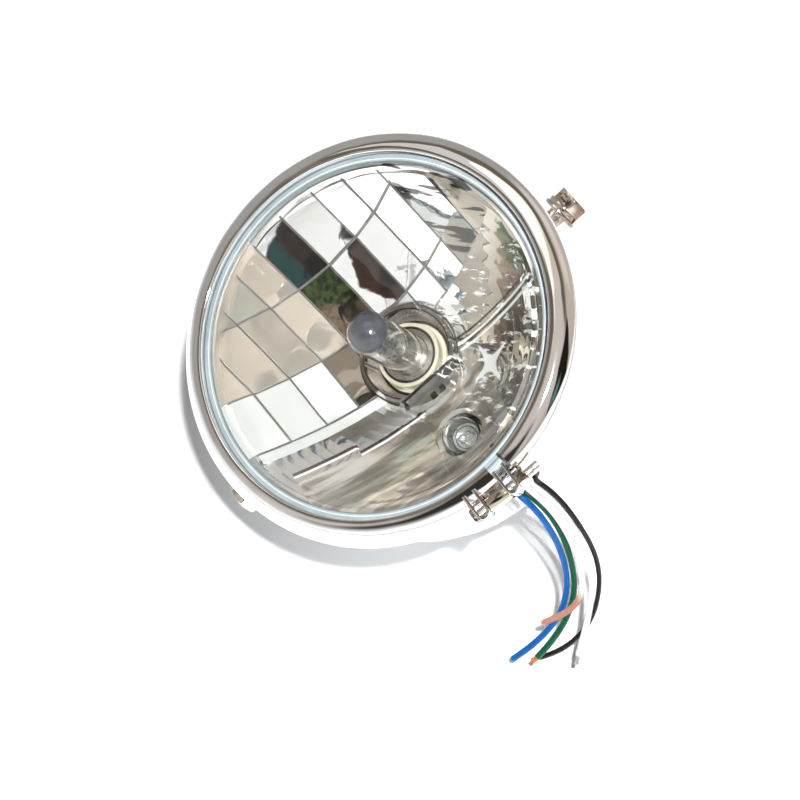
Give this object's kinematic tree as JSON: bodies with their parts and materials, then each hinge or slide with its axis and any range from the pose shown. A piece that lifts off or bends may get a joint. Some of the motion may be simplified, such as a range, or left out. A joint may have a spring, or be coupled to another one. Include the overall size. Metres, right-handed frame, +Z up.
{
  "type": "motorcycle headlight",
  "caption": "Round side-mount motorcycle headlight: domed clear lens in a split chrome clamp ring, faceted reflector with bulbs, bowl shell, side bolts and loose bare-ended leads.",
  "frame": {"origin": "where the axis of the two side bolts crosses the lamp's optical axis", "axes": "+X along the side bolt axis, to the right of a viewer in front of the lens; -Y out of the lens along the optical axis; +Z up"},
  "size_m": [0.1848, 0.1288, 0.2193],
  "materials": {
    "rim_chrome": "polished chrome plate on steel sheet",
    "shell_chrome": "polished chrome plate on pressed steel",
    "fastener": "bright plated steel",
    "spacer": "bright plated steel sleeve",
    "lens_glass": "clear smooth glass",
    "gasket": "grey-blue sealing rubber",
    "reflector_mirror": "vacuum-coated mirror facets",
    "bulb_glass": "clear glass",
    "bulb_coat": "grey opaque coat on glass",
    "bulb_steel": "plain bright steel",
    "filament": "tungsten wire and steel posts",
    "bulb_base": "pressed steel, straw tint",
    "boot_rubber": "soft black rubber",
    "black_plastic": "moulded black plastic",
    "inner_insulation": "coloured wire insulation",
    "blue_insulation": "blue wire insulation, bare copper end",
    "green_insulation": "dark green wire insulation, bare copper end",
    "white_insulation": "white wire insulation, bare end",
    "black_insulation": "black wire insulation, bare copper end"
  },
  "bodies": {
    "root": {"rim_ring": "rim_chrome", "clamp_screw": "fastener", "clamp_nut": "fastener", "clamp_spacer": "spacer", "lens": "lens_glass", "lens_gasket": "gasket", "reflector": "reflector_mirror", "bulb_glass": "bulb_glass", "bulb_tip_coat": "bulb_coat", "bulb_shield": "bulb_steel", "bulb_filaments": "filament", "bulb_base": "bulb_base", "bulb_contacts": "bulb_steel", "bulb_clip": "bulb_steel", "bulb_boot": "boot_rubber", "bulb_plug": "black_plastic", "parking_globe": "bulb_glass", "parking_cap": "bulb_steel", "parking_filament": "filament", "parking_holder": "black_plastic", "shell": "shell_chrome", "side_nuts": "fastener", "side_bolts": "fastener", "spring_washers": "fastener", "flat_washers": "fastener", "cable_grommet": "boot_rubber", "inner_leads": "inner_insulation", "lead_blue": "blue_insulation", "lead_green": "green_insulation", "lead_white_front": "white_insulation", "lead_white_back": "white_insulation", "lead_black": "black_insulation"}
  },
  "joints": []
}
